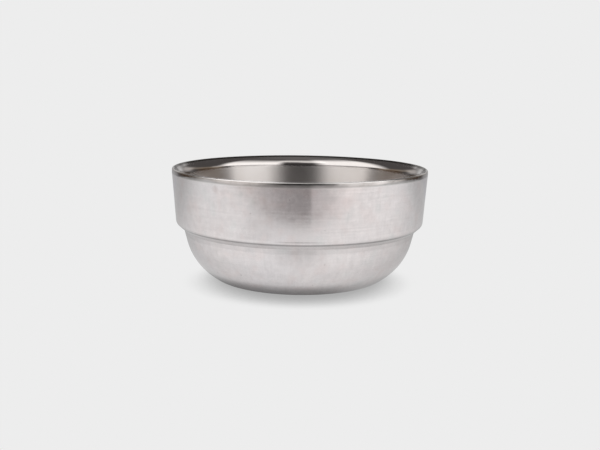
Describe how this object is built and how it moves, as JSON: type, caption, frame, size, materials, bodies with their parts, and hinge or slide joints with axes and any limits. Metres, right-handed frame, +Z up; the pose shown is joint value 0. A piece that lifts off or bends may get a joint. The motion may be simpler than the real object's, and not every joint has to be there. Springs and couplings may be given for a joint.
{
  "type": "insulated bowl",
  "caption": "Round double-walled steel bowl with a sloping polished lip, a tapered brushed wall, a stacking shoulder and a flat foot ring, for hot or cold food.",
  "frame": {"origin": "centre of the foot ring, on the surface that the bowl stands on", "axes": "+Z up the bowl's axis, towards the rim; the bowl is turned, so X and Y are any two level directions"},
  "size_m": [0.14, 0.14, 0.0608],
  "materials": {
    "outer_shell": "fine brush lines running round the bowl",
    "inner_bowl": "polished stainless steel",
    "rim_weld": "ground and polished weld",
    "vent_plug": "plain satin steel"
  },
  "bodies": {
    "root": {"outer_shell": "outer_shell", "inner_bowl": "inner_bowl", "rim_weld": "rim_weld", "vent_plug": "vent_plug"}
  },
  "joints": []
}
